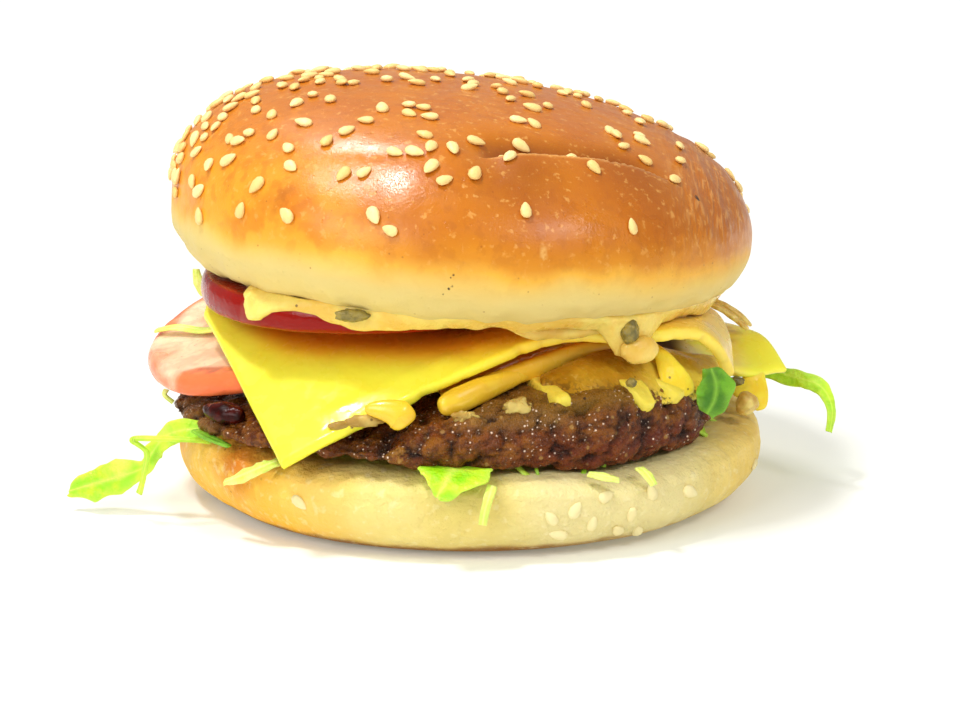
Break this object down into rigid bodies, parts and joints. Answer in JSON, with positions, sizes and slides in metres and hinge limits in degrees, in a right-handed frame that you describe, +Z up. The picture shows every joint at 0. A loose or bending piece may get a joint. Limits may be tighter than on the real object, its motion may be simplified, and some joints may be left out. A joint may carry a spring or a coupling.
{
  "type": "cheeseburger",
  "caption": "Cheeseburger: seeded bun crown and heel around a beef patty, cheese slices, tomato slices, sauce, gherkin, onion and lettuce that hangs out at the sides.",
  "frame": {"origin": "centre of the bun heel's flat bottom", "axes": "+X to the burger's right as seen from its front, where the upper cheese's corner hangs, +Y to its back, +Z up"},
  "size_m": [0.143, 0.1236, 0.0774],
  "materials": {
    "bun_crust": "baked crust with a soft shine",
    "bun_crumb": "pale soft bread",
    "lettuce_green": "moist leaf",
    "lettuce_pale": "moist pale leaf",
    "patty_meat": "moist fried minced beef",
    "cheese": "smooth processed cheese",
    "tomato": "wet cut tomato",
    "sauce": "wet sauce",
    "gherkin": "wet gherkin",
    "onion": "soft cooked onion"
  },
  "bodies": {
    "root": {"bun_crown": "bun_crust", "bun_heel": "bun_crumb", "lettuce_bed": "lettuce_pale", "patty": "patty_meat", "cheese_lower": "cheese", "cheese_upper": "cheese", "tomato_lower": "tomato", "tomato_upper": "tomato", "sauce": "sauce", "lettuce_leaf_left": "lettuce_green", "lettuce_leaf_front": "lettuce_green", "lettuce_leaf_right": "lettuce_green", "lettuce_strand_left": "lettuce_green", "lettuce_shred_dark": "lettuce_green", "lettuce_shred_right": "lettuce_green", "lettuce_shred_left_front": "lettuce_pale", "lettuce_shred_front": "lettuce_pale", "lettuce_shred_mid_1": "lettuce_pale", "lettuce_shred_mid_2": "lettuce_pale", "lettuce_shred_back": "lettuce_pale", "lettuce_shred_tomato": "lettuce_pale", "lettuce_strand_tomato": "lettuce_pale", "gherkin_front": "gherkin", "gherkin_right": "gherkin", "onion_piece": "onion", "onion_strand_1": "onion", "onion_strand_2": "onion", "onion_strand_3": "onion"}
  },
  "joints": []
}
